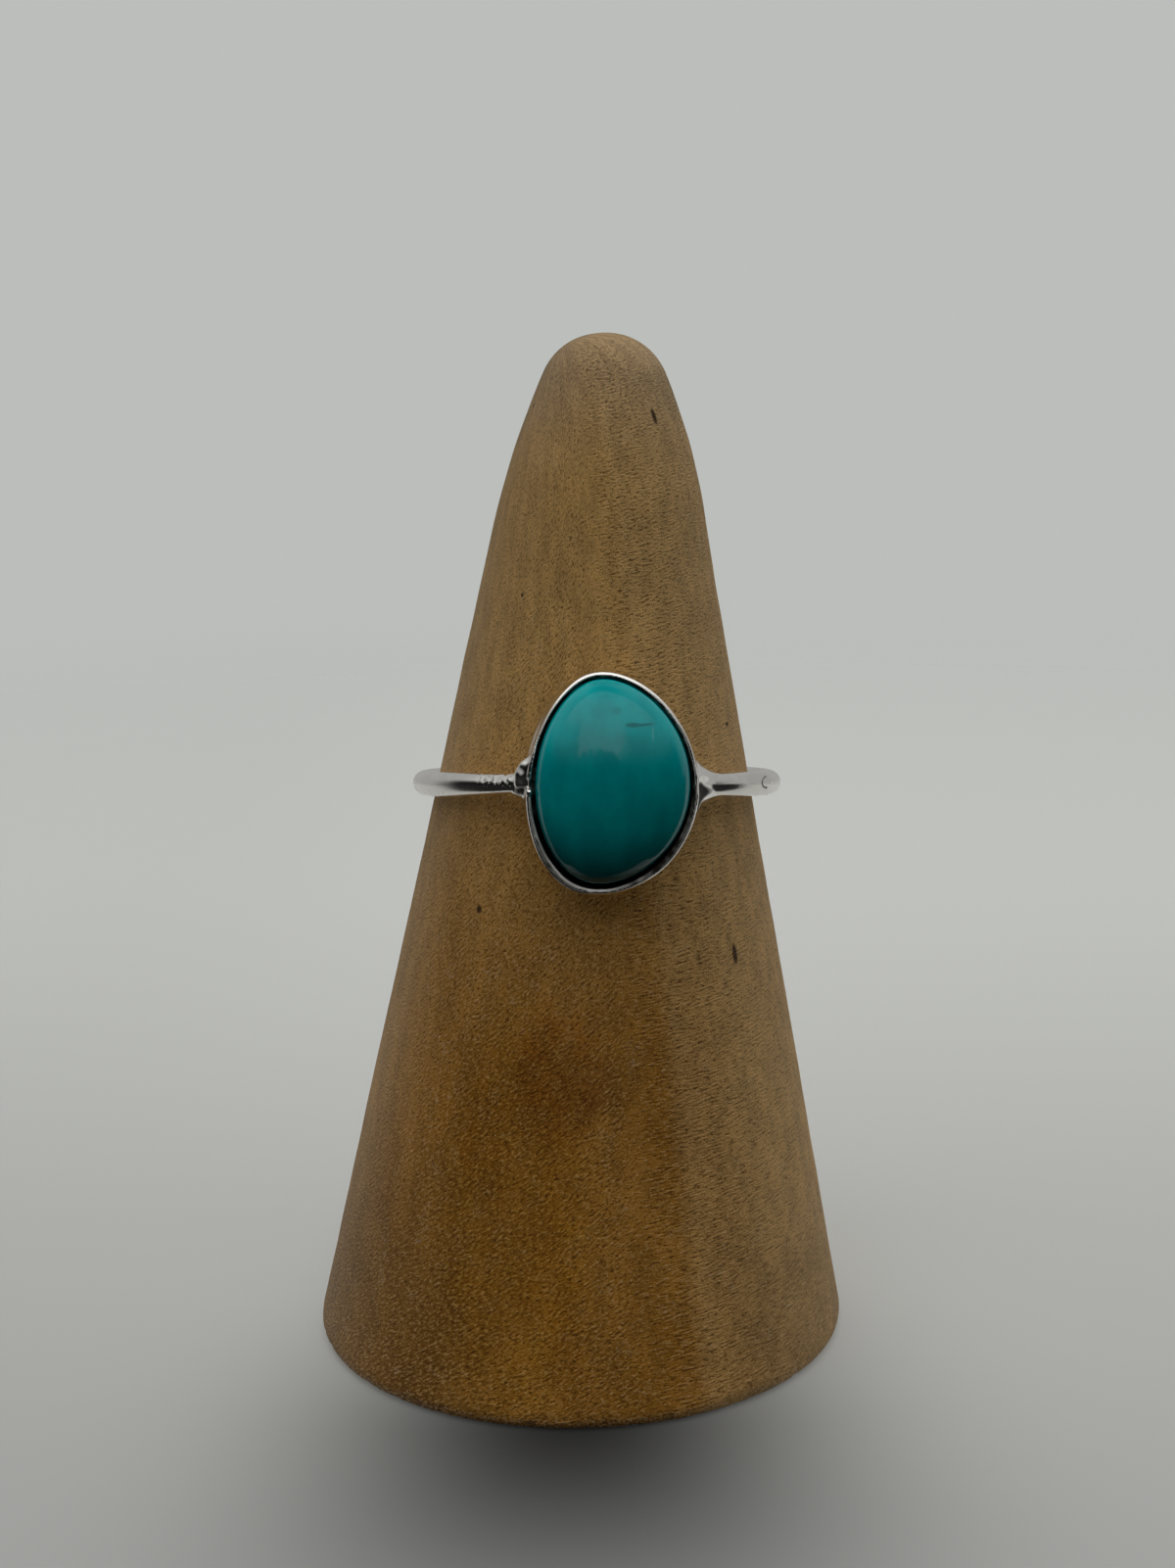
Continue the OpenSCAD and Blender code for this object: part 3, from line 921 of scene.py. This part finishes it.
def turquoise_material():
    """Polished turquoise with faint clouds, one dark sliver, a small painted shadow and a pale streak. It is
    painted darker low down as shade, and lighter at the sides as painted light.
    """
    s = new_material("turquoise")
    place = s.in_ring()
    cloud = s.noise(s.stretch(place, (1, 1, 0.6)), 1.4, 4.0, 0.6)
    base = s.mix(s.band(cloud, 0.35, 0.65), *TURQUOISE)
    x, _, z = s.split(place)
    # Painted shade: darker low down, and a little lighter near the top
    height = s.times(s.band(z, 0.7, 3.8, 0.8, 1.04), s.band(z, -5, -1.6, 0.45, 1))
    # Painted light: lighter towards the sides
    side = s.band(s.math("ABSOLUTE", x), 2.4, 4.0, 1, 1.3)
    base = s.shade(base, s.times(height, side))

    def mark(vector, mark_x, mark_z, half_width, half_height):
        """1 where the mark shows on the dome, and 0 elsewhere."""
        return s.spot(vector, (mark_x, MARK_Y, mark_z), (half_width, MARK_DEPTH, half_height))

    sliver = s.math("MAXIMUM", mark(s.turn(place, (0, SLIVER_SLOPE, 0)), 1.8, 3.2, 0.75, 0.075),
                    mark(place, 1.1, 3.35, 0.42, 0.13))
    base = s.mix(s.times(sliver, 0.75), base, DARK_MARK)
    # A small painted shadow near the top of the dome
    base = s.mix(s.times(mark(place, 0.3, 4.05, 0.25, 0.2), 0.35), base, PAINTED_SHADOW_MARK)
    base = s.mix(s.times(mark(place, 2.1, 2.9, 0.06, 0.42), 0.25), base, PALE_MARK)
    s.set(s.surface, {"Base Color": base, "Roughness": 0.06, "IOR": 1.45, "Specular IOR Level": 0.4})
    return s.owner


# Stage: camera, floor and light

def make_camera():
    data = bpy.data.cameras.new("camera")
    data.sensor_width = SENSOR
    data.lens = FOCAL_PIXELS / IMAGE_H * SENSOR
    data.clip_start, data.clip_end = 0.005, 20
    camera = bpy.data.objects.new("camera", data)
    bpy.context.scene.collection.objects.link(camera)
    turn = Euler((math.pi / 2 - CAMERA_ELEVATION, 0, 0)).to_matrix()
    place = Vector((CAMERA_RIGHT, -CAMERA_DISTANCE * math.cos(CAMERA_ELEVATION),
                    AIM_Z + CAMERA_DISTANCE * math.sin(CAMERA_ELEVATION)))
    camera.matrix_world = Matrix.LocRotScale(place * MM, turn @ Matrix.Rotation(-CAMERA_ROLL, 3, "Z"), None)
    bpy.context.scene.camera = camera


BACKDROP = (0.50, 0.515, 0.495, 1)
PAPER = (0.76, 0.772, 0.747, 1)
DAYLIGHT = (1, 1, 0.98, 1)


def in_front(s, right, ahead):
    """1 in directions to the front of the ring and 0 in those behind it. The edge is turned a little."""
    return s.band(s.math("ADD", ahead, s.times(right, 0.14)), 0.46, 0.14)


def make_world():
    """The room as the ring sees it: pale behind, dark in front, with a bright window high in front.

    The camera sees a plain backdrop instead.
    """
    world = bpy.data.worlds.new("room")
    bpy.context.scene.world = world
    s = Shader(world)
    right, ahead, up = s.split(s.node("TexCoord", {}).outputs["Generated"])
    front = s.band(up, 0.24, 0.5, 0.005, 0.12)
    behind = s.math("ADD", s.band(up, 0.35, 0.8, 0.37, 0.5), s.band(up, 0.85, 0.98, 0, -0.25))
    level = s.blend(in_front(s, right, ahead), behind, front)
    window = s.times(s.band(up, 0.5, 0.72), s.band(ahead, -0.06, -0.17), s.band(right, -0.1, 0.8, 0.7, 0.55))
    level = s.math("ADD", level, window)
    room = s.node("Background", {"Color": DAYLIGHT, "Strength": level}).outputs[0]
    plain = s.node("Background", {"Color": BACKDROP, "Strength": 1.0}).outputs[0]
    seen = s.node("LightPath", {}).outputs["Is Camera Ray"]
    s.output(s.either(seen, room, plain))


LAMP_PLACE = (-40, -90, 640)
LAMP_TILT = math.radians(-8)
LAMP_SIZE = 400


def make_overhead(name, energy, casts_shadow):
    """A broad soft lamp high above, just in front of the ring, which the silver doesn't mirror."""
    data = bpy.data.lights.new(name, "AREA")
    data.size = LAMP_SIZE * MM
    data.energy = energy
    data.use_shadow = casts_shadow
    lamp = bpy.data.objects.new(name, data)
    bpy.context.scene.collection.objects.link(lamp)
    lamp.location = Vector(LAMP_PLACE) * MM
    lamp.rotation_euler = (LAMP_TILT, 0, 0)
    lamp.visible_glossy = False
    lamp.visible_camera = False


def stage_mesh(name, points, faces, material):
    """An object for the stage, from points in millimetres."""
    mesh = bpy.data.meshes.new(name)
    mesh.from_pydata([Vector(point) * MM for point in points], [], faces)
    mesh.materials.append(material)
    made = bpy.data.objects.new(name, mesh)
    bpy.context.scene.collection.objects.link(made)
    return made


def stage_plane(name, corners, material):
    """A flat stage object from corners in millimetres."""
    plane = stage_mesh(name, corners, [range(len(corners))], material)
    return plane


def square(half):
    return [(-half, -half, 0), (half, -half, 0), (half, half, 0), (-half, half, 0)]


def make_mirror_dome():
    """A glow in front from middle heights up, which only the silver and the polish of the stone mirror."""
    columns, rows, radius = 96, 24, 2000
    points = []
    for height in np.linspace(0, 1, rows, endpoint=False):
        flat = math.sqrt(1 - height ** 2)
        points += [radius * np.array([flat * math.cos(turn), flat * math.sin(turn), height])
                   for turn in full_turn(columns)]
    s = new_material("mirror_glow")
    right, ahead, up = s.split(s.vector_math("NORMALIZE", s.position())[0])
    level = s.times(s.band(up, 0.24, 0.5, 0, 0.38), s.band(up, 0.97, 0.87), in_front(s, right, ahead))
    glow = s.node("Emission", {"Color": DAYLIGHT, "Strength": level}).outputs[0]
    s.output(s.node("AddShader", {0: glow, 1: s.clear()}).outputs[0])
    dome = stage_mesh("mirror_dome", points, band_faces(rows, columns), s.owner)
    dome.visible_camera = False
    dome.visible_diffuse = False
    dome.visible_shadow = False


FLOOR_HALF = 500


def make_floor():
    """Pale paper, with painted shade that darkens it towards the camera and a little to the left, and a
    painted shadow in front of the foot. It fades into the backdrop.
    """
    s = new_material("pale_paper")
    place = s.position()
    x, y, _ = s.split(place)
    # Painted shade: the paper darkens towards the camera and a little to the left
    tone = s.times(s.band(y, -90, 110, 0.6, 1.0), s.band(x, -45, 0, 0.94, 1.0))
    # Painted shadow of the foot: a soft bell on the paper in front of it
    half_width = s.band(y, -12, -32, 13.3, 15.5)
    across = s.math("ABSOLUTE", s.math("DIVIDE", s.math("ADD", x, 0.55), half_width))
    painted_shadow_bell = s.math("POWER", math.e, s.times(s.math("POWER", across, 2.2), -1))
    shade = s.times(painted_shadow_bell, s.band(y, 4, -15), s.band(y, -13, -50, 0.945, 0))
    tone = s.times(tone, s.math("SUBTRACT", 1, shade))
    s.set(s.surface, {"Base Color": s.shade(PAPER, tone), "Roughness": 0.9, "Specular IOR Level": 0.1})
    fade = s.band(s.vector_math("LENGTH", place)["Value"], 70, 330)
    s.output(s.either(fade, s.surface.outputs[0], s.clear()))
    stage_plane("floor", square(FLOOR_HALF), s.owner)


def hide_card(card):
    """Lets the camera and shadows pass a card, so that only other light meets it."""
    card.visible_camera = False
    card.visible_shadow = False


def make_dark_card():
    """A dark card just over the floor, cut away behind the cone and under it. It is clear from below."""
    s = new_material("dark_card")
    s.set(s.surface, {"Base Color": (0.02, 0.02, 0.02, 1), "Roughness": 1.0, "Specular IOR Level": 0.0})
    below = s.node("NewGeometry", {}).outputs["Backfacing"]
    s.output(s.either(below, s.surface.outputs[0], s.clear()))
    far, back_y, lift = 3000, 1100, 0.2
    outer = [(-far, back_y), (-far, -far), (far, -far), (far, back_y)]
    round_cone = [(29, 2), (24, -17), (-24, -17), (-28, 3)]
    hide_card(stage_plane("dark_card", [(x, y, lift) for x, y in outer + round_cone], s.owner))


PALE_CARD_HALF = 60
PALE_CARD_DISTANCE = 90
PALE_CARD_AIM = (1.2, -12, 31)
PALE_CARD_HEADING = (-0.12, -0.70, 0.70)


def make_pale_card():
    """A glowing card high in front, whose ragged shape the stone mirrors as a patch."""
    s = new_material("pale_card")
    x, y, _ = s.split(s.position())
    lumps = s.times(s.noise(s.position(), 11.0, 3.0), 22)
    y, x = s.math("ADD", y, lumps), s.math("SUBTRACT", x, lumps)
    shape = s.times(s.band(y, -25, -19), s.band(y, 42, 28), s.band(x, -48, -38), s.band(x, 46, 28))
    glow = s.node("Emission", {"Strength": 1.2}).outputs[0]
    s.output(s.either(shape, s.clear(), glow))
    card = stage_plane("pale_card", square(PALE_CARD_HALF), s.owner)
    toward = Vector(PALE_CARD_HEADING).normalized()
    place = Vector(PALE_CARD_AIM) + PALE_CARD_DISTANCE * toward
    card.matrix_world = Matrix.LocRotScale(place * MM, toward.to_track_quat("Z", "Y"), None)
    hide_card(card)
    card.visible_diffuse = False


bpy.context.scene.view_settings.view_transform = "Standard"
make_camera()
make_world()
make_overhead("overhead", 0.4, True)
make_overhead("overhead_fill", 1.6, False)
make_mirror_dome()
make_floor()
make_dark_card()
make_pale_card()
wooden_cone(wood_material())
silver_ring(silver_material())
stone(turquoise_material())
